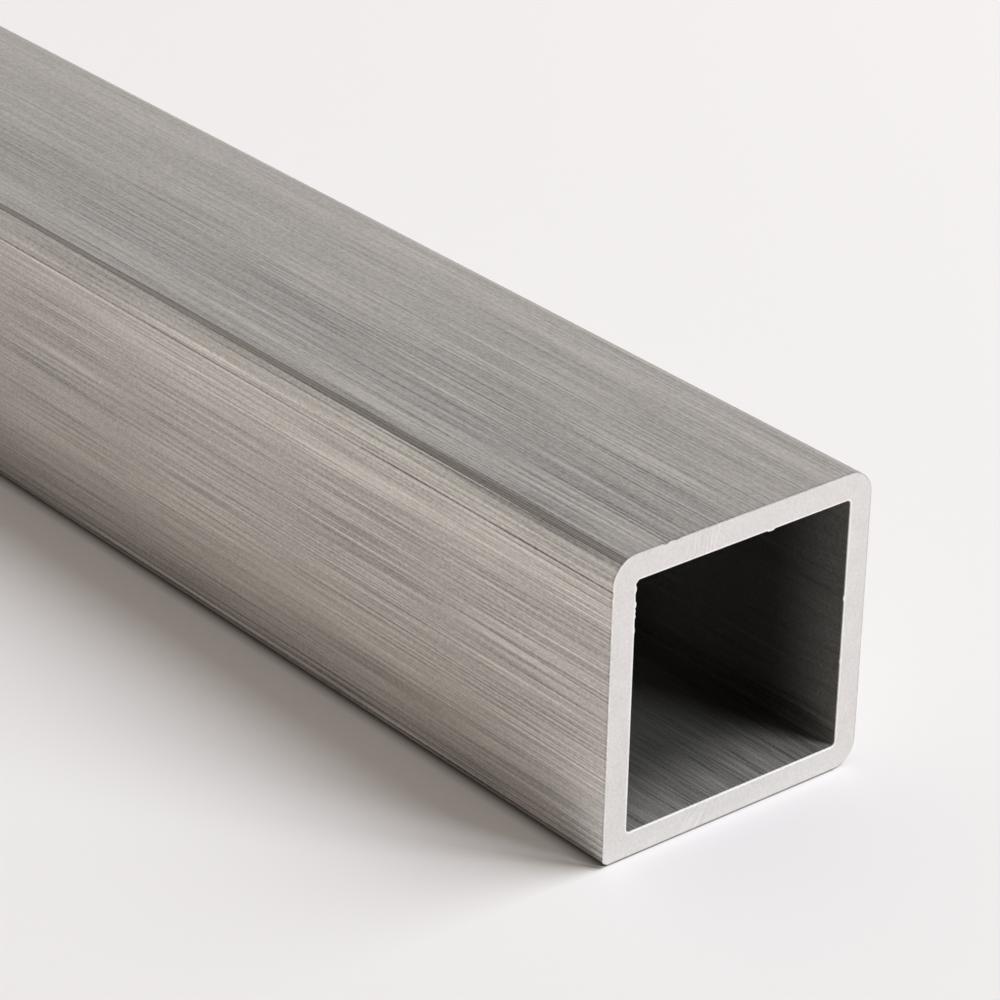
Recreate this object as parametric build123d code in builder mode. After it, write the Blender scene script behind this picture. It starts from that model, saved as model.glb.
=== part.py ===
from build123d import *

import os

# A length of square steel tube, cut from stock and laid on one of its flat sides.
#
# Frame: +X runs along the tube, +Z is up, and the origin is the middle of the side that
# it rests on. The section is the same all the way: four flat walls of one thickness, with
# a small radius in the corners of the bore. Three of the outside corners are rounded, and
# the fourth, along the front of the side that the tube rests on, is nearly sharp. Both
# ends are sawn square across, and their edges are lightly broken, outside and in the bore.

# Driving dimensions, in millimetres
LENGTH = 500.0  # end to end, a length that this stock is sold cut to
WIDTH = 35.0  # outside, across the flats, the same both ways
WALL = 3.0  # thickness of each of the four walls
CORNER_RADIUS = 3.0  # the three rounded outside corners
TIGHT_CORNER_RADIUS = 0.8  # the fourth outside corner
BORE_CORNER_RADIUS = 0.5  # all four corners of the bore
OUTER_EDGE_BREAK = 0.25  # chamfer round the outside of each sawn end
BORE_EDGE_BREAK = 0.15  # chamfer round the mouth of the bore at each sawn end

# What follows from them
HALF_WIDTH = WIDTH / 2
BORE = WIDTH - 2 * WALL

# The section stands across the tube at its left end, with its middle on the tube's axis.
# Its own x runs along the tube's +Y, and its own y along +Z.
left_end = Plane(origin=(-LENGTH / 2, 0, HALF_WIDTH), x_dir=(0, 1, 0), z_dir=(1, 0, 0))

with BuildPart() as tube:
    # The walls: the outside with its four corner radii, less the square of the bore
    with BuildSketch(left_end):
        with BuildLine():
            FilletPolyline(
                (-HALF_WIDTH, -HALF_WIDTH),
                (HALF_WIDTH, -HALF_WIDTH),
                (HALF_WIDTH, HALF_WIDTH),
                (-HALF_WIDTH, HALF_WIDTH),
                radius=(TIGHT_CORNER_RADIUS, CORNER_RADIUS, CORNER_RADIUS, CORNER_RADIUS),
                close=True,
            )
        make_face()
        RectangleRounded(BORE, BORE, BORE_CORNER_RADIUS, mode=Mode.SUBTRACT)
    extrude(amount=LENGTH)

    # The saw's burr taken off, round the outside of each end and round the bore's mouths
    sawn_ends = tube.faces().filter_by(Axis.X)
    outer_edges = [edge for end in sawn_ends for edge in end.outer_wire().edges()]
    bore_edges = [edge for end in sawn_ends for wire in end.inner_wires() for edge in wire.edges()]
    chamfer(outer_edges, OUTER_EDGE_BREAK)
    chamfer(bore_edges, BORE_EDGE_BREAK)

tube.part.label = "tube"

os.makedirs("parts", exist_ok=True)
export_step(tube.part, "parts/tube.step")
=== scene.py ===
"""The looks of a square steel tube: brushed sides, sawn ends, a dark bore, and the studio around it.

Everything is in metres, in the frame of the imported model: +X runs along the tube, +Z is up, and
the origin is the middle of the side that the tube rests on.
"""

import logging
import math
from collections.abc import Callable
from dataclasses import dataclass, field
from enum import Enum, IntEnum

import bmesh
import bpy
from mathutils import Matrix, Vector


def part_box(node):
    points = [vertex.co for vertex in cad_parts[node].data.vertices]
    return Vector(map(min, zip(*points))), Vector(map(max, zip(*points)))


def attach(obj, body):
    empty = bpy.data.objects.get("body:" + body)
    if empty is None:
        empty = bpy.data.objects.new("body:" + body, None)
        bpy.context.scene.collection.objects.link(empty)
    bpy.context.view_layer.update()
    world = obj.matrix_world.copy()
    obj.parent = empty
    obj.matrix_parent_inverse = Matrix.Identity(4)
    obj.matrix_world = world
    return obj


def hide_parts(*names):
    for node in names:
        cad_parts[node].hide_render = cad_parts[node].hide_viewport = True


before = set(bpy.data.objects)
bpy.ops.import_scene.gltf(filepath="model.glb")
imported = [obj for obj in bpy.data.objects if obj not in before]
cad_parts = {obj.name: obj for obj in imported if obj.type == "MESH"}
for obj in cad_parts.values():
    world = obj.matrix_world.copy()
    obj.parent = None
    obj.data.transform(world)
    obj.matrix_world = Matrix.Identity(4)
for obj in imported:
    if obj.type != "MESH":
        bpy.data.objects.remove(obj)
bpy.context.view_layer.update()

MM = 0.001
HALF_LENGTH = 250 * MM  # of the tube, where the finishes and the floor's shades follow its ends
HALF_WIDTH = 17.5 * MM
CORNER_LINE = "from_corner_mm"  # attribute: how far round the outside from a corner's middle
RIM_LINE = "rim_edge"  # attribute: 1 on the line round the bore's mouth
SQUARE_ON = 0.999  # the least X of a sawn face's normal
SLOPING = 0.05  # the least X of a chamfer's normal
MOSTLY = 0.9  # the least share of a direction that runs along X

log = logging.getLogger("square_tube")

Colour = tuple[float, float, float]
Span = tuple[float, float]
Socket = bpy.types.NodeSocket
Sockets = dict[str, Socket]
BLACK: Colour = (0.0, 0.0, 0.0)


class Facing(IntEnum):
    """The parts of the tube's surface, in the order of its material slots."""

    OUTSIDE = 0
    BORE = 1
    SAWN_END = 2
    BROKEN_EDGE = 3


class End(Enum):
    """The two sawn ends, by the side of the tube's middle that they are on."""

    LEFT = -1
    RIGHT = 1


# Node trees


class Graph:
    """A node tree with short ways to add the nodes that the finishes use."""

    def __init__(self, tree: bpy.types.NodeTree) -> None:
        """Works on a tree, keeping the nodes that it has."""
        self.tree = tree

    def node(self, kind: str, **settings: object) -> bpy.types.Node:
        """Adds a node.

        Args:
            kind: the node's type name, such as "ShaderNodeMath".
            settings: properties of the node, by name.

        Returns:
            The new node.
        """
        made = self.tree.nodes.new(kind)
        for name, value in settings.items():
            setattr(made, name, value)
        return made

    def feed(self, socket: Socket, source: object) -> None:
        """Joins an output to a socket, or sets the socket's own value.

        Args:
            socket: the input socket.
            source: an output socket, a number, a vector or a colour.
        """
        if isinstance(source, Socket):
            self.tree.links.new(source, socket)
        elif socket.type == "RGBA":
            socket.default_value = (*source, 1.0)
        else:
            socket.default_value = source

    def feed_all(self, node: bpy.types.Node, sources: dict[str, object]) -> None:
        """Feeds several inputs of a node, each by its name."""
        for name, source in sources.items():
            self.feed(node.inputs[name], source)

    def fed(self, kind: str, *sources: object, **settings: object) -> bpy.types.Node:
        """Adds a node and feeds its first inputs.

        Args:
            kind: the node's type name.
            sources: what feeds the inputs, in their order.
            settings: properties of the node, by name.

        Returns:
            The new node.
        """
        made = self.node(kind, **settings)
        for socket, source in zip(made.inputs, sources):
            self.feed(socket, source)
        return made

    def math(self, operation: str, *terms: object) -> Socket:
        """The result of a Math node on terms that are outputs or numbers."""
        return self.fed("ShaderNodeMath", *terms, operation=operation).outputs[0]

    def add(self, first: object, second: object) -> Socket:
        """The sum of two terms."""
        return self.math("ADD", first, second)

    def sub(self, first: object, second: object) -> Socket:
        """The first term less the second."""
        return self.math("SUBTRACT", first, second)

    def mul(self, first: object, second: object) -> Socket:
        """The product of two terms."""
        return self.math("MULTIPLY", first, second)

    def length(self, first: object, second: object) -> Socket:
        """The length of the way that goes by two steps at right angles."""
        return self.math("SQRT", self.add(self.mul(first, first), self.mul(second, second)))

    def separate(self, place: object) -> list[Socket]:
        """The X, Y and Z of a vector."""
        return list(self.fed("ShaderNodeSeparateXYZ", place).outputs)

    def combine(self, *parts: object) -> Socket:
        """The vector of an X, a Y and, where it isn't 0, a Z."""
        return self.fed("ShaderNodeCombineXYZ", *parts).outputs[0]

    def times(self, place: object, factor: object) -> Socket:
        """A vector multiplied, part by part, by a number or by another vector's output."""
        factor = (factor,) * 3 if isinstance(factor, float) else factor
        return self.fed("ShaderNodeVectorMath", place, factor, operation="MULTIPLY").outputs[0]

    def attribute(self, name: str) -> Socket:
        """Reads a number that the mesh carries."""
        return self.node("ShaderNodeAttribute", attribute_name=name).outputs["Fac"]

    def ray(self, kind: str) -> Socket:
        """Whether the ray that meets the surface is of a kind, such as "Is Camera Ray"."""
        return self.node("ShaderNodeLightPath").outputs[kind]

    def mix(self, share: object, first: object, second: object, blend: str = "MIX") -> Socket:
        """Adds a colour Mix node.

        Args:
            share: how much of the second colour shows, from 0 to 1.
            first: the colour at 0.
            second: the colour at 1.
            blend: the blend mode.

        Returns:
            The mixed colour.
        """
        made = self.node("ShaderNodeMix", data_type="RGBA", blend_type=blend)
        for index, source in ((0, share), (6, first), (7, second)):
            self.feed(made.inputs[index], source)
        return made.outputs[2]

    def shaded(self, colour: object, level: object) -> Socket:
        """Multiplies a colour by one factor.

        Args:
            colour: the colour.
            level: the factor.

        Returns:
            The darker or lighter colour.
        """
        made = self.node("ShaderNodeVectorMath", operation="SCALE")
        self.feed(made.inputs[0], colour)
        self.feed(made.inputs["Scale"], level)
        return made.outputs["Vector"]

    def span(self, value: object, low: float, high: float, to_low: float = 0.0,
             to_high: float = 1.0, smooth: bool = False) -> Socket:
        """Adds a clamped Map Range node.

        Args:
            value: what it maps.
            low: the value that becomes to_low.
            high: the value that becomes to_high.
            to_low: the result at low and before it.
            to_high: the result at high and past it.
            smooth: whether the result eases in and out.

        Returns:
            The result.
        """
        kind = "SMOOTHSTEP" if smooth else "LINEAR"
        terms = (value, low, high, to_low, to_high)
        return self.fed("ShaderNodeMapRange", *terms, interpolation_type=kind).outputs[0]

    def band(self, value: object, middle: float, half: float, soft: float) -> Socket:
        """A mask that is 1 within half of the middle of a value and falls to 0 over soft."""
        away = self.math("ABSOLUTE", self.sub(value, middle))
        return self.span(away, half, half + soft, 1.0, 0.0)

    def noise(self, place: object, detail: float, roughness: float, seed: object) -> Socket:
        """Adds a four-dimensional Noise Texture of scale 1.

        Args:
            place: the coordinates, already scaled.
            detail: its octaves.
            roughness: the weight of the finer octaves.
            seed: the fourth coordinate, which picks another pattern.

        Returns:
            The noise, from 0 to 1 and mostly near 0.5.
        """
        made = self.node("ShaderNodeTexNoise", noise_dimensions="4D")
        self.feed_all(made, {"Vector": place, "W": seed, "Scale": 1.0, "Detail": detail,
                             "Roughness": roughness})
        return made.outputs[0]

    def bump(self, height: object, distance: float) -> Socket:
        """Adds a Bump node of full strength.

        Args:
            height: the height, as a share of the distance.
            distance: how high a height of 1 stands.

        Returns:
            The normal.
        """
        made = self.node("ShaderNodeBump")
        self.feed_all(made, {"Strength": 1.0, "Distance": distance, "Height": height})
        return made.outputs["Normal"]


class Surface(Graph):
    """A material of one Principled BSDF, with its place and its coordinates at hand."""

    def __init__(self, name: str) -> None:
        """Starts the material.

        Args:
            name: the material's name.
        """
        self.material = bpy.data.materials.new(name)
        self.material.use_nodes = True
        super().__init__(self.material.node_tree)
        self.shader = self.tree.nodes["Principled BSDF"]
        self.place = self.node("ShaderNodeTexCoord").outputs["Object"]
        self.along, self.across, self.above = self.separate(self.place)

    def depth(self) -> Socket:
        """How far a place is from the nearer sawn end."""
        return self.sub(HALF_LENGTH, self.math("ABSOLUTE", self.along))


def grain_group() -> bpy.types.NodeTree:
    """Builds the grain that a belt or a die leaves along the tube.

    Its inputs are the coordinates, the width and the length of its lines, and a seed. It puts out
    fine lines, ribs, broad bands and a sandy speck, each about 0 on the average, then the dark
    and the bright scratches, as masks, and a height.

    Returns:
        The node group.
    """
    tree = bpy.data.node_groups.new("lengthwise_grain", "ShaderNodeTree")
    tree.interface.new_socket(name="Place", in_out="INPUT", socket_type="NodeSocketVector")
    for label, default in (("Line Width", 0.3 * MM), ("Line Length", 20 * MM), ("Seed", 0.0)):
        number = tree.interface.new_socket(name=label, in_out="INPUT", socket_type="NodeSocketFloat")
        number.default_value = default
    for label in ("Lines", "Ribs", "Bands", "Speck", "Dark Scratches", "Bright Scratches", "Height"):
        tree.interface.new_socket(name=label, in_out="OUTPUT", socket_type="NodeSocketFloat")
    graph = Graph(tree)
    given = graph.node("NodeGroupInput").outputs
    out = graph.node("NodeGroupOutput").inputs
    dark_from, bright_from = (-0.15, -0.22), (0.16, 0.24)
    dark_patches, bright_patches = (0.08, -0.10), (-0.08, 0.10)
    rib_height, scratch_depth = 0.4, 0.4

    def layer(widths: float, lengths: float, detail: float, seed: float) -> Socket:
        """Adds one noise, stretched along X.

        Args:
            widths: how many times the lines' width its marks are.
            lengths: how many times the lines' length they are.
            detail: its octaves.
            seed: what picks its pattern, on top of the group's own seed.

        Returns:
            The noise less its average.
        """
        across = graph.math("DIVIDE", 1.0, graph.mul(given["Line Width"], widths))
        along = graph.math("DIVIDE", 1.0, graph.mul(given["Line Length"], lengths))
        place = graph.times(given["Place"], graph.combine(along, across, across))
        value = graph.noise(place, detail, 0.6, graph.add(given["Seed"], seed))
        return graph.sub(value, 0.5)

    fine = layer(widths=1.0, lengths=1.0, detail=1.0, seed=0.0)
    ribs = layer(widths=2.6, lengths=2.4, detail=1.0, seed=11.0)
    patches = layer(widths=8.0, lengths=4.0, detail=1.0, seed=71.0)
    dark = graph.span(layer(widths=0.9, lengths=2.2, detail=0.0, seed=37.0), *dark_from)
    bright = graph.span(layer(widths=1.0, lengths=1.6, detail=0.0, seed=53.0), *bright_from)
    dark = graph.mul(dark, graph.span(patches, *dark_patches))
    bright = graph.mul(bright, graph.span(patches, *bright_patches))
    bands = layer(widths=13.0, lengths=12.0, detail=2.0, seed=23.0)
    speck = layer(widths=0.9, lengths=0.018, detail=1.0, seed=91.0)
    height = graph.add(fine, graph.mul(ribs, rib_height))
    height = graph.sub(height, graph.mul(dark, scratch_depth))
    for socket, source in zip(out, (fine, ribs, bands, speck, dark, bright, height)):
        graph.feed(socket, source)
    return tree


@dataclass(frozen=True)
class Grain:
    """How one finish uses the grain group: sizes, a seed, and how strongly each layer shows."""

    line_width: float
    line_length: float
    seed: float
    lines: float
    ribs: float
    bands: float
    speck: float
    scratches: float

    def place_in(self, graph: Surface, group: bpy.types.NodeTree) -> Sockets:
        """Puts the group in a material.

        Args:
            graph: the material.
            group: the grain group.

        Returns:
            The group's outputs by name.
        """
        made = graph.node("ShaderNodeGroup", node_tree=group)
        graph.feed_all(made, {"Place": graph.place, "Line Width": self.line_width,
                              "Line Length": self.line_length, "Seed": self.seed})
        return {s.name: s for s in made.outputs}

    def level(self, graph: Surface, grain: Sockets, depth: object) -> Socket:
        """Adds the layers up to a factor for the base colour.

        Args:
            graph: the material.
            grain: the group's outputs.
            depth: a factor on the lines and the ribs, where they are deeper or fainter.

        Returns:
            The factor, about 1 on the average.
        """
        total = graph.mul(grain["Lines"], self.lines)
        total = graph.add(total, graph.mul(grain["Ribs"], self.ribs))
        total = graph.mul(total, depth)
        shares = {"Bands": self.bands, "Speck": self.speck, "Dark Scratches": -self.scratches,
                  "Bright Scratches": self.scratches}
        for name, share in shares.items():
            total = graph.add(total, graph.mul(grain[name], share))
        return graph.add(total, 1.0)


# Finishes


@dataclass(frozen=True)
class Mark:
    """A line or band along the tube that is darker or lighter than what is round it.

    Its middle and half its width are across the face, its start and stop along X, all in
    millimetres, and its change is the share of the colour that it adds or takes away.
    """

    middle: float
    half: float
    soft: float
    change: float
    start: float = -260.0
    stop: float = 260.0
    tip: float = 8.0

    def on(self, graph: Graph, across: object, along: object) -> Socket:
        """Builds the mark's change at each place.

        Args:
            graph: the material.
            across: the coordinate across the face, in millimetres.
            along: the coordinate along the tube, in millimetres.

        Returns:
            The change, 0 away from the mark.
        """
        centre, reach = (self.start + self.stop) / 2, (self.stop - self.start) / 2
        within = graph.band(along, centre, reach, self.tip)
        here = graph.band(across, self.middle, self.half, self.soft)
        return graph.mul(graph.mul(here, within), self.change)


@dataclass(frozen=True)
class BrushedSides:
    """The outside: satin grain along the tube, and painted shade: a dark strip on each corner's turn.

    The top and the resting side share one steel colour; the front and the back carry a warmer,
    lighter copy of it, painted light for the floor's warm reflection. The strip's own sizes are in
    millimetres round the outside.
    """

    top_steel: Colour = (0.526, 0.491, 0.466)
    # Painted light: the front and the back get a warmer, lighter copy of the top's steel, and another
    # copy toward their foot
    side_steel_painted_warm: Colour = (0.547, 0.514, 0.471)
    foot_steel_painted: Colour = (0.524, 0.503, 0.478)
    low_span: Span = (2 * MM, 12 * MM)
    # Painted shade: the front and the back darken toward the far end
    far_share: float = 0.91
    far_span: Span = (130 * MM, 190 * MM)
    # Painted shade: the sides darken to near black along the bottom edge, where the tube meets the
    # floor
    contact_shade: Colour = (0.060, 0.052, 0.045)
    contact_shade_span: Span = (0.18 * MM, 0.52 * MM)
    grain: Grain = Grain(line_width=0.25 * MM, line_length=28 * MM, seed=3.0, lines=1.90,
                         ribs=0.07, bands=0.09, speck=0.75, scratches=0.16)
    relief: float = 0.01 * MM
    metallic: float = 1.0
    roughness: float = 0.36
    roughness_spread: float = 0.2
    faint_along: float = 0.4
    along_span: Span = (90 * MM, 225 * MM)
    faint_across: float = 0.6
    across_span: Span = (-6 * MM, 12 * MM)
    end_shade: float = 0.16
    end_span: Span = (0.25 * MM, 0.45 * MM)
    # Painted shade: the colour of the dark strip, with darker edges, where each rounded corner turns
    # dark
    corner_strip_shade: Colour = (0.354, 0.314, 0.282)
    strip_middle: float = -0.72
    strip_half: float = 0.44
    strip_soft: float = 0.03
    strip_line: float = 0.13
    strip_edges: Span = (0.26, 0.48)
    strip_wander: float = 0.2
    strip_taper: float = 0.48
    taper_span: Span = (110 * MM, 240 * MM)
    strip_calm: float = 0.35
    strip_blotch: float = 0.55
    front_from: float = -16.0
    # Painted light: the broad bands at 7.5, 19.2, 23.5 and 28.7 mm are painted reflections, lighter
    # and darker; the thin dark lines below 2.5 mm also darken the foot as painted shade along the
    # resting edge
    front_marks: tuple[Mark, ...] = (
        Mark(31.55, 0.07, 0.05, -0.42, 60, 252),
        Mark(31.30, 0.08, 0.06, 0.22, 60, 252),
        Mark(28.7, 0.6, 1.1, 0.13, 165, 252),
        Mark(23.5, 2.0, 3.0, -0.07),
        Mark(7.5, 2.5, 5.0, 0.15),
        Mark(19.2, 1.2, 0.6, -0.06, 60, 220),
        Mark(2.45, 0.06, 0.06, -0.30, 120, 252),
        Mark(1.65, 0.09, 0.07, -0.28, 60, 252),
        Mark(1.25, 0.10, 0.08, 0.30, 160, 252),
        Mark(0.90, 0.09, 0.07, -0.45, 40, 252),
    )
    top_from: float = 34.6
    # Painted light: the broad bands at -6.3 and 12.2 mm are painted reflections, a darker and a
    # lighter one
    top_marks: tuple[Mark, ...] = (
        Mark(-10.0, 0.07, 0.05, -0.35, 232, 252),
        Mark(-9.8, 0.06, 0.05, 0.20, 232, 252),
        Mark(-6.3, 2.2, 4.0, -0.13),
        Mark(12.2, 0.8, 2.2, 0.12),
    )

    def marks(self, graph: Surface) -> Socket:
        """Adds up the marks of the front and of the top.

        Args:
            graph: the material.

        Returns:
            Their change at each place.
        """
        along, across, above = graph.separate(graph.times(graph.place, 1 / MM))
        on_front = graph.math("LESS_THAN", across, self.front_from)
        on_top = graph.math("GREATER_THAN", above, self.top_from)
        total = 0.0
        for marks, side, value in ((self.front_marks, on_front, above),
                                   (self.top_marks, on_top, across)):
            for mark in marks:
                total = graph.add(total, graph.mul(mark.on(graph, value, along), side))
        return total

    def wear(self, graph: Surface) -> Socket:
        """How deep the lines are: full at the right end's front, fainter along and to the back.

        Args:
            graph: the material.

        Returns:
            A factor on the lines.
        """
        lengthwise = graph.span(graph.along, *self.along_span, self.faint_along, 1.0)
        crosswise = graph.span(graph.across, *self.across_span, 1.0, self.faint_across)
        return graph.mul(lengthwise, crosswise)

    def strip(self, graph: Surface, grain: Sockets) -> tuple[Socket, Socket, Socket]:
        """Builds the masks of the painted dark strip on each corner's turn.

        Args:
            graph: the material.
            grain: the group's outputs.

        Returns:
            The strip, how much darker its two edges are, and all that is on its side face.
        """
        wander = graph.mul(grain["Bands"], self.strip_wander)
        at = graph.add(graph.attribute(CORNER_LINE), wander)
        wide = graph.span(graph.along, *self.taper_span, self.strip_taper, 1.0)
        off = graph.math("DIVIDE", graph.sub(at, self.strip_middle), wide)
        whole = graph.band(off, 0.0, self.strip_half, self.strip_soft)
        inner = graph.band(off, 0.0, self.strip_half - self.strip_line, self.strip_soft)
        sides = graph.math("GREATER_THAN", at, self.strip_middle)
        darker = graph.span(sides, 0.0, 1.0, *self.strip_edges)
        edges = graph.mul(graph.sub(whole, inner), darker)
        return whole, edges, sides

    def material(self, group: bpy.types.NodeTree) -> bpy.types.Material:
        """Builds the material.

        Args:
            group: the grain group.

        Returns:
            The material.
        """
        graph = Surface("brushed_sides")
        grain = self.grain.place_in(graph, group)
        strip, edges, sides = self.strip(graph, grain)
        level = self.grain.level(graph, grain, self.wear(graph))
        level = graph.add(level, self.marks(graph))
        calm = graph.mul(graph.sub(1.0, level), self.strip_calm)
        level = graph.add(level, graph.mul(calm, strip))
        blotch = graph.mul(grain["Ribs"], self.strip_blotch)
        level = graph.add(level, graph.mul(blotch, strip))
        level = graph.sub(level, edges)
        level = graph.sub(level, graph.span(graph.depth(), *self.end_span, self.end_shade, 0.0))
        # Painted light and shade in the base colour: the sides' warmer copy and its foot, darker
        # toward the far end, the dark corner strip and the dark bottom edge
        steel = graph.mix(graph.span(graph.above, *self.low_span), self.foot_steel_painted, self.side_steel_painted_warm)
        steel = graph.shaded(steel, graph.span(graph.along, *self.far_span, self.far_share, 1.0))
        base = graph.mix(sides, self.top_steel, steel)
        base = graph.mix(strip, base, self.corner_strip_shade)
        base = graph.mix(graph.span(graph.above, *self.contact_shade_span, 1.0, 0.0), base, self.contact_shade)
        spread = graph.mul(grain["Bands"], self.roughness_spread)
        graph.feed_all(graph.shader, {
            "Base Color": graph.shaded(base, level),
            "Metallic": self.metallic,
            "Roughness": graph.add(self.roughness, spread),
            "Normal": graph.bump(grain["Height"], self.relief),
        })
        return graph.material


@dataclass(frozen=True)
class DrawnBore:
    """The inside: matt mill finish; painted light at the mouth, painted shade a little way in.

    The drawing lines are deepest along the wall that the tube rests on.
    """

    steel: Colour = (0.250, 0.242, 0.227)
    grain: Grain = Grain(line_width=0.30 * MM, line_length=9 * MM, seed=9.0, lines=2.1,
                         ribs=0.9, bands=0.3, speck=1.3, scratches=0.3)
    relief: float = 0.005 * MM
    metallic: float = 0.5
    roughness: float = 0.5
    # Painted light and shade: the bore is lighter at the mouth, darkest a little way in and lighter
    # again deep inside, a little darker on its walls than on its floor, and darker on the floor toward
    # the back wall
    mouth_share: float = 1.12
    dark_share: float = 0.33
    dark_from: float = 11 * MM
    deep_gain: float = 0.6
    deep_from: float = 30 * MM
    wall_share: float = 0.88
    wall_span: Span = (4 * MM, 6 * MM)
    back_share: float = 0.70
    back_span: Span = (6 * MM, 12 * MM)
    wall_lines: float = 0.2
    wall_lines_span: Span = (4 * MM, 8 * MM)
    deep_lines: float = 0.15
    deep_lines_span: Span = (7 * MM, 22 * MM)

    def material(self, group: bpy.types.NodeTree) -> bpy.types.Material:
        """Builds the material.

        Args:
            group: the grain group.

        Returns:
            The material.
        """
        graph = Surface("drawn_bore")
        grain = self.grain.place_in(graph, group)
        depth, above = graph.depth(), graph.above
        bore_painted_light = graph.span(depth, 0.0, self.dark_from, self.mouth_share, self.dark_share, smooth=True)
        deep = graph.span(depth, self.dark_from, self.deep_from, 0.0, self.deep_gain, smooth=True)
        bore_painted_light = graph.add(bore_painted_light, deep)
        walls = graph.span(above, *self.wall_span)
        floor = graph.span(graph.across, *self.back_span, 1.0, self.back_share)
        floor = graph.mul(graph.sub(1.0, walls), floor)
        share = graph.add(graph.mul(walls, self.wall_share), floor)
        bore_painted_light = graph.mul(bore_painted_light, share)
        lines = graph.mul(graph.span(above, *self.wall_lines_span, 1.0, self.wall_lines),
                          graph.span(depth, *self.deep_lines_span, 1.0, self.deep_lines))
        level = graph.mul(self.grain.level(graph, grain, lines), bore_painted_light)
        relief = graph.mul(grain["Height"], lines)
        graph.feed_all(graph.shader, {
            "Base Color": graph.shaded(self.steel, level),
            "Metallic": self.metallic,
            "Roughness": self.roughness,
            "Normal": graph.bump(relief, self.relief),
        })
        return graph.material


@dataclass(frozen=True)
class SawnEnd:
    """A sawn end: pale and matt, with the saw's faint arcs and a painted highlight round the bore's
    mouth.

    The rough spots are at places across and above the section, in millimetres, as is their reach.
    """

    steel: Colour = (0.692, 0.673, 0.654)
    # Painted highlight: the near-white line round the bore's mouth, where the deburred edge catches
    # the light
    edge: Colour = (0.970, 0.955, 0.935)
    metallic: float = 0.75
    roughness: Span = (0.50, 0.44)
    relief: float = 0.006 * MM
    bounce: float = 0.55
    ground: float = 0.785
    arc_centre: tuple[float, float] = (-0.070, 0.040)
    arc_width: float = 0.24 * MM
    arc_length: float = 4 * MM
    arc_span: Span = (0.28, 0.72)
    arc_share: float = 0.05
    speck_scale: float = 2800.0
    speck_share: float = 0.32
    cloud_scale: float = 500.0
    cloud_share: float = 0.16
    back_span: Span = (17.2 * MM, 17.35 * MM)
    back_shade: float = 0.10
    foot_span: Span = (0.12 * MM, 0.24 * MM)
    foot_shade: float = 0.50
    rough_spots: tuple[tuple[float, float], ...] = ((-5.0, 33.5), (-4.5, 1.6))
    rough_reach: float = 4.0
    rough_gain: float = 9.0

    def arcs(self, graph: Surface) -> Socket:
        """Builds the saw's marks, arcs about a point off the section.

        Args:
            graph: the material.

        Returns:
            The marks, from 0 to 1.
        """
        aside = graph.sub(graph.across, self.arc_centre[0])
        over = graph.sub(graph.above, self.arc_centre[1])
        reach = graph.length(aside, over)
        swept = graph.mul(graph.math("ARCTAN2", over, aside), abs(self.arc_centre[0]))
        polar = graph.combine(graph.math("DIVIDE", reach, self.arc_width),
                              graph.math("DIVIDE", swept, self.arc_length))
        return graph.span(graph.noise(polar, detail=3.0, roughness=0.6, seed=5.0), *self.arc_span)

    def roughness_at(self, graph: Surface) -> Socket:
        """How much stronger the saw's marks are at each place.

        Args:
            graph: the material.

        Returns:
            A factor on the marks, 1 away from the rough spots.
        """
        total = 1.0
        for across, above in self.rough_spots:
            aside = graph.math("ABSOLUTE", graph.sub(graph.across, across * MM))
            over = graph.math("ABSOLUTE", graph.sub(graph.above, above * MM))
            away = graph.add(aside, over)
            gain = graph.span(away, 0.0, self.rough_reach * MM, self.rough_gain, 0.0)
            total = graph.add(total, gain)
        return total

    def material(self) -> bpy.types.Material:
        """Builds the material.

        Returns:
            The material.
        """
        graph = Surface("sawn_end")
        place, across, above = graph.place, graph.across, graph.above
        marks = self.arcs(graph)
        speck = graph.noise(graph.times(place, self.speck_scale), detail=2.0, roughness=0.5, seed=8.0)
        cloud = graph.noise(graph.times(place, self.cloud_scale), detail=2.0, roughness=0.5, seed=12.0)
        strokes = graph.mul(graph.sub(marks, 0.5), self.arc_share)
        level = graph.mul(strokes, self.roughness_at(graph))
        level = graph.add(level, graph.mul(speck, self.speck_share))
        level = graph.add(level, graph.mul(cloud, self.cloud_share))
        level = graph.add(level, self.ground)
        level = graph.sub(level, graph.span(across, *self.back_span, 0.0, self.back_shade))
        level = graph.sub(level, graph.span(above, *self.foot_span, self.foot_shade, 0.0))
        held_down = graph.span(graph.ray("Is Diffuse Ray"), 0.0, 1.0, 1.0, self.bounce)
        level = graph.mul(level, held_down)
        base = graph.mix(graph.attribute(RIM_LINE), self.steel, self.edge)
        graph.feed_all(graph.shader, {
            "Base Color": graph.shaded(base, level),
            "Metallic": self.metallic,
            "Roughness": graph.span(marks, 0.0, 1.0, *self.roughness),
            "Normal": graph.bump(marks, self.relief),
        })
        return graph.material


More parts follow.
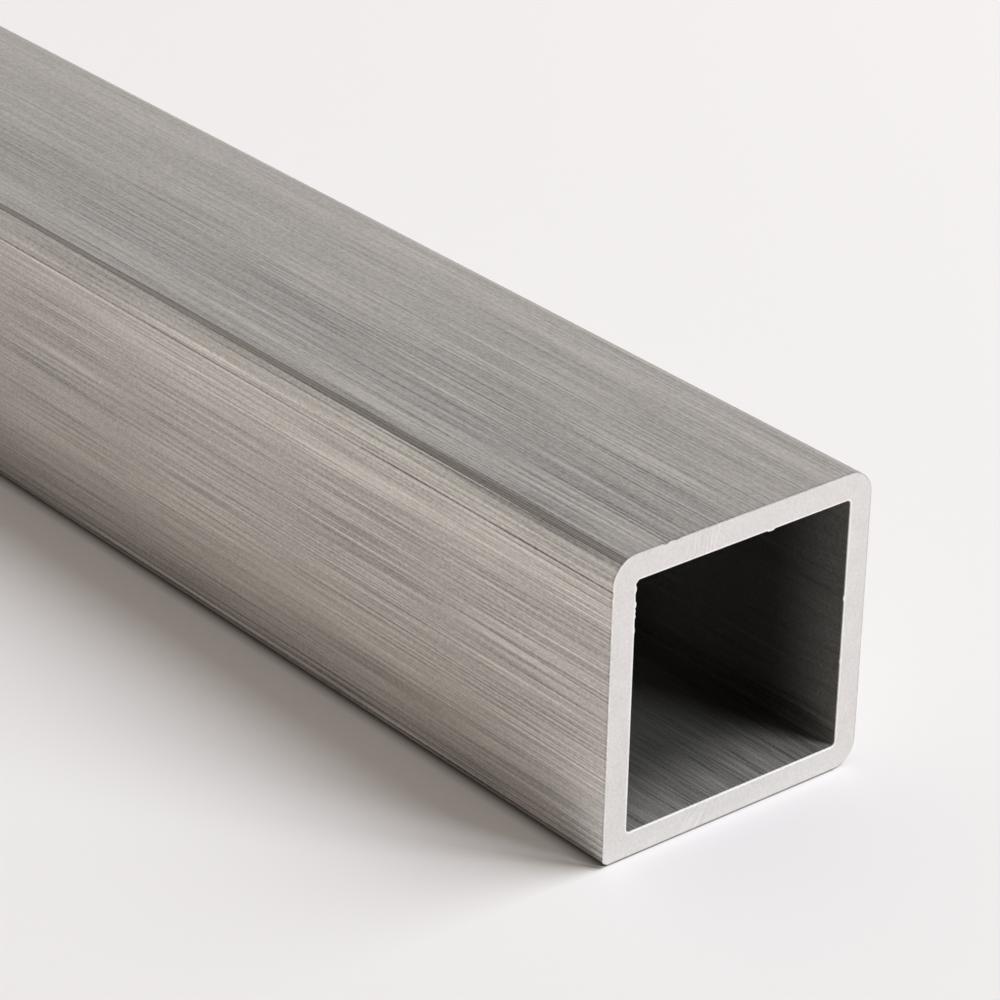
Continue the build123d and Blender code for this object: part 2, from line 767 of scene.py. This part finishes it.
@dataclass(frozen=True)
class BrokenEdge:
    """The chamfers left where the burr was taken off: painted highlight along the front, darker
    elsewhere.
    """

    # Painted highlight: the front chamfers are near-white and the ones round the bore lighter than the
    # rest, lit copies of one finish
    front: Colour = (0.86, 0.84, 0.82)
    outer: Colour = (0.46, 0.45, 0.435)
    turn_span: Span = (-17.3 * MM, -15.2 * MM)
    inner: Colour = (0.66, 0.65, 0.63)
    # Painted shade: the chamfers darken at the bottom, where the tube meets the floor
    contact_shade: Colour = (0.16, 0.145, 0.13)
    contact_shade_span: Span = (0.3 * MM, 0.42 * MM)
    metallic: float = 0.8
    roughness: Span = (0.65, 0.55)
    relief: float = 0.01 * MM
    scuff_scale: float = 1800.0
    scuff_span: Span = (0.3, 0.7)
    scuff_shades: Span = (0.85, 1.06)

    def material(self) -> bpy.types.Material:
        """Builds the material.

        Returns:
            The material.
        """
        graph = Surface("broken_edge")
        place = graph.times(graph.place, self.scuff_scale)
        scuff = graph.noise(place, detail=2.0, roughness=0.6, seed=2.0)
        base = graph.mix(graph.span(graph.across, *self.turn_span), self.front, self.outer)
        base = graph.mix(graph.attribute(RIM_LINE), base, self.inner)
        base = graph.mix(graph.span(graph.above, *self.contact_shade_span, 1.0, 0.0), base, self.contact_shade)
        graph.feed_all(graph.shader, {
            "Base Color": graph.shaded(base, graph.span(scuff, *self.scuff_span, *self.scuff_shades)),
            "Metallic": self.metallic,
            "Roughness": graph.span(scuff, *self.scuff_span, *self.roughness),
            "Normal": graph.bump(scuff, self.relief),
        })
        return graph.material


# Modelling


def deselect_everything() -> None:
    """Deselects every object, so that the next operator acts on one piece alone."""
    bpy.ops.object.select_all(action="DESELECT")


def make_active(piece: bpy.types.Object) -> None:
    """Selects one piece alone and makes it active.

    Args:
        piece: the piece.
    """
    deselect_everything()
    piece.select_set(True)
    bpy.context.view_layer.objects.active = piece


def pick(kind: str, wanted: Callable[[object], bool]) -> None:
    """In edit mode, selects just the vertices, edges or faces that pass a test.

    Args:
        kind: "VERT", "EDGE" or "FACE".
        wanted: the test, on a bmesh element.
    """
    bpy.ops.mesh.select_mode(type=kind)
    bpy.ops.mesh.select_all(action="DESELECT")
    mesh = bpy.context.edit_object.data
    shape = bmesh.from_edit_mesh(mesh)
    elements = {"VERT": shape.verts, "EDGE": shape.edges, "FACE": shape.faces}[kind]
    for element in elements:
        if wanted(element):
            element.select_set(True)
    shape.select_flush_mode()
    bmesh.update_edit_mesh(mesh)


def bevel_picked(width: float, segments: int) -> None:
    """Rounds or chamfers the selected edges, by a width along both of their faces."""
    bpy.ops.mesh.bevel(offset=width, offset_type="OFFSET", segments=segments, profile=0.5,
                       affect="EDGES", clamp_overlap=False)


def middle_of(edge: bmesh.types.BMEdge) -> Vector:
    """The middle point of an edge."""
    return (edge.verts[0].co + edge.verts[1].co) / 2


def runs_along(edge: bmesh.types.BMEdge) -> bool:
    """Whether an edge runs along the tube."""
    run = edge.verts[1].co - edge.verts[0].co
    return abs(run.x) > MOSTLY * run.length


def is_crease(edge: bmesh.types.BMEdge) -> bool:
    """Whether an edge has two faces, about square to each other."""
    faces = edge.link_faces
    return len(faces) == 2 and abs(faces[0].normal.dot(faces[1].normal)) < 1 - MOSTLY


@dataclass(frozen=True)
class Dent:
    """A nick or a bit of burr on the edges of the right sawn end, all in millimetres.

    It takes the vertices within reach of a place on the section and pushes them.
    """

    across: float
    above: float
    reach: float
    push: tuple[float, float, float]

    def holds(self, point: Vector) -> bool:
        """Whether a point is within reach, seen along the tube."""
        return math.hypot(point.y - self.across * MM, point.z - self.above * MM) < self.reach * MM


@dataclass
class SquareTube:
    """The tube: one piece of stock, modelled as its outside and its bore, joined at the sawn ends."""

    length: float
    width: float
    wall: float = 3.0 * MM
    corner_radius: float = 3.0 * MM
    tight_corner_radius: float = 0.8 * MM
    bore_corner_radius: float = 0.5 * MM
    outer_edge_break: float = 0.12 * MM
    bore_edge_break: float = 0.10 * MM
    edge_break_steps: int = 2
    rim_line: float = 0.19 * MM
    end_band: float = 0.5 * MM
    corner_steps: int = 20
    side_steps: int = 96
    smooth_below: float = 20.0
    dents: tuple[Dent, ...] = (
        Dent(-10.69, 35.0, 0.24, (0.0, 0.0, -0.14)),
        Dent(-9.30, 35.0, 0.24, (0.0, 0.0, -0.07)),
        Dent(-17.5, 31.3, 0.26, (0.0, 0.10, 0.0)),
        Dent(-14.45, 32.0, 0.28, (0.0, 0.07, 0.0)),
        Dent(-14.45, 31.05, 0.20, (0.0, 0.13, 0.0)),
        Dent(-14.45, 29.25, 0.28, (0.0, 0.14, 0.0)),
        Dent(-14.45, 28.60, 0.20, (0.0, 0.10, 0.0)),
        Dent(-14.45, 28.00, 0.20, (0.0, 0.12, 0.0)),
        Dent(-14.45, 26.40, 0.20, (0.0, 0.07, 0.0)),
        Dent(3.58, 31.95, 0.50, (0.0, 0.0, -0.14)),
        Dent(14.45, 20.60, 0.30, (0.0, -0.11, 0.0)),
        Dent(14.45, 13.20, 0.20, (0.0, -0.07, 0.0)),
    )
    finishes: list[bpy.types.Material] = field(default_factory=list)

    @property
    def bore(self) -> float:
        """The bore's width across its flats."""
        return self.width - 2 * self.wall

    @property
    def middle_height(self) -> float:
        """The height of the tube's axis."""
        return self.width / 2

    def bar(self, name: str, across: float) -> bpy.types.Object:
        """Adds a square bar along the tube's axis, left in edit mode.

        Args:
            name: the object's name.
            across: the bar's width across its flats.

        Returns:
            The bar.
        """
        deselect_everything()
        bpy.ops.mesh.primitive_cube_add(size=1, location=(0, 0, self.middle_height),
                                        scale=(self.length, across, across))
        made = bpy.context.active_object
        made.name = name
        bpy.ops.object.transform_apply(location=True, rotation=True, scale=True)
        bpy.ops.object.mode_set(mode="EDIT")
        return made

    def is_tight_corner(self, point: Vector) -> bool:
        """Whether a point is at the nearly sharp corner, along the front of the resting side."""
        return point.y < 0 and point.z < self.middle_height

    def round_long_edges(self, radius: float, chosen: Callable[[Vector], bool]) -> None:
        """Rounds the bar's long edges, in steps of equal angle.

        Args:
            radius: the corners' radius.
            chosen: the test that an edge's middle has to pass.
        """
        pick("EDGE", lambda edge: runs_along(edge) and chosen(middle_of(edge)) and is_crease(edge))
        bevel_picked(radius, self.corner_steps)

    def divide_sides(self) -> None:
        """Divides the flats across their width, so that the sawn edges can be worked in detail."""
        long_enough = self.bore / 2
        pick("EDGE", lambda edge: not runs_along(edge) and edge.calc_length() > long_enough)
        bpy.ops.mesh.subdivide(number_cuts=self.side_steps - 1)

    def open_ends(self) -> None:
        """Takes away the bar's two end faces."""
        pick("FACE", lambda face: abs(face.normal.x) > MOSTLY)
        bpy.ops.mesh.delete(type="ONLY_FACE")

    def close_rim(self, end: End) -> None:
        """Joins the outside to the bore at one sawn end.

        Args:
            end: the end.
        """
        plane, near = end.value * self.length / 2, 0.1 * MM
        pick("EDGE", lambda edge: edge.is_boundary and abs(middle_of(edge).x - plane) < near)
        bpy.ops.mesh.bridge_edge_loops(type="PAIRS")

    def break_edges(self, width: float, outside: bool) -> None:
        """Chamfers the edges of both sawn ends.

        Args:
            width: the chamfers' width.
            outside: whether they go round the outside rather than round the bore.
        """
        plane, near = self.length / 2, 0.01 * MM
        limit = self.bore / 2 + self.wall / 4

        def on_loop(edge: bmesh.types.BMEdge) -> bool:
            """Whether an edge lies on the wanted loop of a sawn end.

            Args:
                edge: the edge.

            Returns:
                Whether it does.
            """
            at = middle_of(edge)
            beyond = max(abs(at.y), abs(at.z - self.middle_height)) > limit
            turns = len({round(face.normal.x) for face in edge.link_faces}) == 2
            return abs(abs(at.x) - plane) < near and beyond == outside and turns

        pick("EDGE", on_loop)
        bevel_picked(width, self.edge_break_steps)

    def line_rims(self) -> None:
        """Cuts a narrow line into the sawn faces along their edges."""
        pick("FACE", lambda face: abs(face.normal.x) > SQUARE_ON)
        bpy.ops.mesh.inset(thickness=self.rim_line, depth=0, use_boundary=True, use_even_offset=True)

    def band_ends(self) -> None:
        """Cuts a short band off the walls at each sawn end, so that its edges can be worked alone."""
        for end in End:
            plane = end.value * (self.length / 2 - self.end_band)
            bpy.ops.mesh.select_all(action="SELECT")
            bpy.ops.mesh.bisect(plane_co=(plane, 0, 0), plane_no=(1, 0, 0))

    def dent_edges(self) -> None:
        """Puts the nicks and the burr on the right sawn end's edges."""
        within = self.length / 2 - self.end_band / 2
        for dent in self.dents:
            pick("VERT", lambda vertex, dent=dent: vertex.co.x > within and dent.holds(vertex.co))
            bpy.ops.transform.translate(value=[part * MM for part in dent.push])

    def from_corner(self, point: Vector) -> float:
        """How far round the outside a point is from the middle of the nearest corner.

        Args:
            point: a point on the outside.

        Returns:
            The distance in millimetres, negative towards the top or the resting side.
        """
        across, above = abs(point.y), abs(point.z - self.middle_height)
        radius = self.tight_corner_radius if self.is_tight_corner(point) else self.corner_radius
        centre = self.width / 2 - radius
        quarter = radius * math.pi / 4
        if across > centre and above > centre:
            turned = math.atan2(across - centre, above - centre)
            return (turned - math.pi / 4) * radius / MM
        if above >= across:
            return -(quarter + centre - across) / MM
        return (quarter + centre - above) / MM

    def outside_bore(self, point: Vector) -> float:
        """How far a point lies outside the bore's rounded square.

        Args:
            point: the point.

        Returns:
            The distance in metres, negative inside.
        """
        centre = self.bore / 2 - self.bore_corner_radius
        across = max(abs(point.y) - centre, 0.0)
        above = max(abs(point.z - self.middle_height) - centre, 0.0)
        return math.hypot(across, above) - self.bore_corner_radius

    def write_lines(self, piece: bpy.types.Object) -> None:
        """Writes the distances that the finishes follow into attributes of the mesh.

        Args:
            piece: the tube.
        """
        mesh = piece.data
        around = mesh.attributes.new(CORNER_LINE, "FLOAT", "POINT")
        rim = mesh.attributes.new(RIM_LINE, "FLOAT", "POINT")
        mouth = self.bore_edge_break + self.rim_line / 2
        for vertex in mesh.vertices:
            around.data[vertex.index].value = self.from_corner(vertex.co)
            rim.data[vertex.index].value = 1.0 if self.outside_bore(vertex.co) < mouth else 0.0

    def facing_of(self, centre: Vector, normal: Vector) -> Facing:
        """Which part of the surface a face belongs to.

        Args:
            centre: the face's centre.
            normal: its normal.

        Returns:
            The part of the surface.
        """
        if abs(normal.x) > SQUARE_ON:
            return Facing.SAWN_END
        if abs(normal.x) > SLOPING:
            return Facing.BROKEN_EDGE
        inside = max(abs(centre.y), abs(centre.z - self.middle_height)) < self.bore / 2 + self.wall / 2
        return Facing.BORE if inside else Facing.OUTSIDE

    def dress(self, piece: bpy.types.Object) -> None:
        """Gives each part of the surface its finish, then dents and smooths what needs it.

        The dents come after the attributes, which follow the sound edges.

        Args:
            piece: the tube.
        """
        for finish in self.finishes:
            piece.data.materials.append(finish)
        for face in piece.data.polygons:
            face.material_index = self.facing_of(face.center, face.normal)
        self.write_lines(piece)
        make_active(piece)
        bpy.ops.object.mode_set(mode="EDIT")
        self.dent_edges()
        bpy.ops.object.mode_set(mode="OBJECT")
        bpy.ops.object.shade_smooth_by_angle(angle=math.radians(self.smooth_below))

    def build(self) -> bpy.types.Object:
        """Models the tube.

        Returns:
            The finished piece, at the origin.
        """
        hollow = self.bar("bore", self.bore)
        self.round_long_edges(self.bore_corner_radius, lambda point: True)
        self.divide_sides()
        self.open_ends()
        bpy.ops.mesh.select_all(action="SELECT")
        bpy.ops.mesh.flip_normals()
        bpy.ops.object.mode_set(mode="OBJECT")
        piece = self.bar("square_tube", self.width)
        self.round_long_edges(self.corner_radius, lambda point: not self.is_tight_corner(point))
        self.round_long_edges(self.tight_corner_radius, self.is_tight_corner)
        self.divide_sides()
        self.open_ends()
        bpy.ops.object.mode_set(mode="OBJECT")
        make_active(piece)
        hollow.select_set(True)
        bpy.ops.object.join()
        bpy.ops.object.mode_set(mode="EDIT")
        for end in End:
            self.close_rim(end)
        self.break_edges(self.outer_edge_break, outside=True)
        self.break_edges(self.bore_edge_break, outside=False)
        self.line_rims()
        self.band_ends()
        bpy.ops.object.mode_set(mode="OBJECT")
        self.dress(piece)
        return piece


# Studio


@dataclass
class Studio:
    """A plain pale floor, one tall soft light to the right and a pale surround."""

    floor_size: float = 12.0
    floor_colour: Colour = (0.900, 0.880, 0.886)
    floor_roughness: float = 0.9
    # Painted light: the floor grows a little paler toward the back
    back_way: tuple[float, float] = (-0.765, 0.644)
    back_span: Span = (-0.25, 0.08)
    back_shades: Span = (0.965, 1.055)
    # Painted contact shadow on the floor round the tube, a close dark one and a wide soft one
    contact_shadow_close: Span = (1.4 * MM, 0.55)
    contact_shadow_wide: Span = (7 * MM, 0.90)
    contact_shadow_beyond: float = 14.0
    contact_shadow_behind: float = 10.0
    contact_shadow_inwards: float = 3 * MM
    fan_reach: float = 22 * MM
    fan_end: Span = (18 * MM, 66 * MM)
    fan_shade: Colour = (0.30, 0.265, 0.23)
    fan_opening: Span = (17.0, 36.0)
    fan_closing: Span = (42.0, 90.0)
    backdrop: Colour = (0.860, 0.840, 0.835)
    backdrop_span: Span = (0.45, 1.2)
    key_azimuth: float = 28.5
    key_elevation: float = 40.5
    key_distance: float = 3.0
    key_half_width: float = 10.0
    key_half_height: float = 26.0
    key_power: float = 97.0
    key_colour: Colour = (0.97, 1.0, 1.045)
    fill: Colour = (0.290, 0.256, 0.218)
    horizon: Colour = (0.75, 0.735, 0.71)
    mid_sky: Colour = (0.66, 0.66, 0.66)
    mid_span: Span = (0.15, 0.50)
    high_sky: Colour = (0.42, 0.42, 0.42)
    high_span: Span = (0.55, 0.95)

    def before_front(self, graph: Surface) -> Socket:
        """How far a place on the floor is before the tube's front."""
        return graph.sub(graph.mul(graph.across, -1.0), HALF_WIDTH)

    def floor_level(self, graph: Surface) -> Socket:
        """Builds the floor's shade: painted light a little paler to the back, and a painted contact
        shadow close to the tube.

        Args:
            graph: the floor's material.

        Returns:
            A factor on the floor's colour.
        """
        along, across = graph.along, graph.across
        back = graph.add(graph.mul(along, self.back_way[0]), graph.mul(across, self.back_way[1]))
        paler = graph.span(back, *self.back_span, *self.back_shades)
        # Painted contact shadow: the floor darkens close round the tube
        beyond = graph.sub(graph.math("ABSOLUTE", along), HALF_LENGTH)
        beyond = graph.mul(graph.math("MAXIMUM", beyond, 0.0), self.contact_shadow_beyond)
        behind = graph.sub(across, HALF_WIDTH - self.contact_shadow_inwards)
        behind = graph.mul(behind, self.contact_shadow_behind)
        aside = graph.math("MAXIMUM", self.before_front(graph), behind)
        away = graph.length(beyond, graph.math("MAXIMUM", aside, 0.0))
        close, wide = (graph.span(away, 0.0, reach, shade, 1.0)
                       for reach, shade in (self.contact_shadow_close, self.contact_shadow_wide))
        return graph.mul(paler, graph.mul(close, wide))

    def fan(self, graph: Surface) -> Socket:
        """Builds the wide soft shade that spreads over the floor from the right end's front corner.

        Args:
            graph: the floor's material.

        Returns:
            How much of the shade there is, from 0 to 1.
        """
        inwards, before = graph.sub(HALF_LENGTH, graph.along), self.before_front(graph)
        away = graph.length(inwards, before)
        fade = graph.math("EXPONENT", graph.math("DIVIDE", away, -self.fan_reach))
        fade = graph.mul(fade, graph.span(away, *self.fan_end, 1.0, 0.0))
        turned = graph.math("ARCTAN2", before, inwards)
        opening = graph.span(turned, *map(math.radians, self.fan_opening))
        closing = graph.span(turned, *map(math.radians, self.fan_closing), 1.0, 0.0)
        return graph.mul(fade, graph.mul(opening, closing))

    def floor(self) -> bpy.types.Object:
        """Adds the floor: shaded close to the tube, and the backdrop's colour far away.

        Returns:
            The floor.
        """
        deselect_everything()
        bpy.ops.mesh.primitive_plane_add(size=self.floor_size, location=(0, 0, 0))
        made = bpy.context.active_object
        made.name = "floor"
        graph = Surface("pale_floor")
        seen = graph.ray("Is Camera Ray")
        colour = graph.shaded(self.floor_colour, self.floor_level(graph))
        fan = graph.mul(self.fan(graph), seen)
        colour = graph.mix(fan, colour, self.fan_shade, "MULTIPLY")
        reach = graph.fed("ShaderNodeVectorMath", graph.place, operation="LENGTH").outputs["Value"]
        far = graph.mul(graph.span(reach, *self.backdrop_span), seen)
        graph.feed_all(graph.shader, {
            "Base Color": graph.mix(far, colour, BLACK),
            "Emission Color": graph.mix(far, BLACK, self.backdrop),
            "Emission Strength": 1.0,
            "Roughness": self.floor_roughness,
            "Specular IOR Level": 0.0,
        })
        made.data.materials.append(graph.material)
        return made

    def key(self) -> bpy.types.Object:
        """Adds the soft key light, a tall oval to the right.

        Returns:
            The light.
        """
        turn, rise = math.radians(self.key_azimuth), math.radians(self.key_elevation)
        level = math.cos(rise)
        away = Vector((level * math.cos(turn), level * math.sin(turn), math.sin(rise)))
        lamp = bpy.data.lights.new("key", "AREA")
        lamp.shape = "ELLIPSE"
        lamp.size = 2 * self.key_distance * math.tan(math.radians(self.key_half_width))
        lamp.size_y = 2 * self.key_distance * math.tan(math.radians(self.key_half_height))
        lamp.energy = self.key_power
        lamp.color = self.key_colour
        made = bpy.data.objects.new("key", lamp)
        made.location = away * self.key_distance
        made.rotation_euler = away.to_track_quat("Z", "Y").to_euler()
        bpy.context.scene.collection.objects.link(made)
        return made

    def surround(self) -> bpy.types.World:
        """Builds the surround: warm fill light, and a pale sky that darkens upwards in reflections.

        Returns:
            The world.
        """
        world = bpy.data.worlds.new("surround")
        world.use_nodes = True
        graph = Graph(world.node_tree)
        mirrored = graph.math("MAXIMUM", graph.ray("Is Glossy Ray"), graph.ray("Is Transmission Ray"))
        _, _, up = graph.separate(graph.node("ShaderNodeTexCoord").outputs["Generated"])
        sky = graph.mix(graph.span(up, *self.mid_span), self.horizon, self.mid_sky)
        sky = graph.mix(graph.span(up, *self.high_span), sky, self.high_sky)
        colour = graph.mix(mirrored, self.fill, sky)
        colour = graph.mix(graph.ray("Is Camera Ray"), colour, self.backdrop)
        back = world.node_tree.nodes["Background"]
        graph.feed_all(back, {"Color": colour, "Strength": 1.0})
        bpy.context.scene.world = world
        return world


@dataclass
class Camera:
    """A long lens near the tube's right end, above its front."""

    eye: tuple[float, float, float] = (0.52442, -0.26328, 0.22959)
    azimuth: float = 49.914
    elevation: float = 27.053
    roll: float = 1.422
    lens_mm: float = 153.69
    sensor_mm: float = 36.0
    clip_start: float = 0.01

    def build(self) -> bpy.types.Object:
        """Adds the camera and makes it the scene's.

        Returns:
            The camera.
        """
        lens = bpy.data.cameras.new("view")
        lens.lens = self.lens_mm
        lens.sensor_width = self.sensor_mm
        lens.clip_start = self.clip_start
        made = bpy.data.objects.new("view", lens)
        turn, rise = math.radians(self.azimuth), math.radians(self.elevation)
        level = math.cos(rise)
        ahead = Vector((-math.sin(turn) * level, math.cos(turn) * level, -math.sin(rise)))
        made.matrix_world = ahead.to_track_quat("-Z", "Y").to_matrix().to_4x4()
        made.rotation_mode = "XYZ"
        made.rotation_euler.rotate_axis("Z", math.radians(self.roll))
        made.location = self.eye
        bpy.context.scene.collection.objects.link(made)
        bpy.context.scene.camera = made
        return made


def main() -> None:
    """Builds the tube, the studio and the camera, and reports each."""
    logging.basicConfig(level=logging.INFO, format="%(name)s: %(message)s")
    bpy.context.scene.view_settings.view_transform = "Standard"
    low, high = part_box("tube")
    size = high - low
    grain = grain_group()
    finishes = [
        BrushedSides().material(grain),
        DrawnBore().material(grain),
        SawnEnd().material(),
        BrokenEdge().material(),
    ]
    tube = SquareTube(length=size.x, width=size.z, finishes=finishes).build()
    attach(tube, "root")
    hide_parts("tube")
    log.info("%s: %d faces", tube.name, len(tube.data.polygons))
    studio = Studio()
    log.info("%s, %s and %s", studio.floor().name, studio.key().name, studio.surround().name)
    log.info("camera %s", Camera().build().name)


if __name__ == "__main__":
    main()
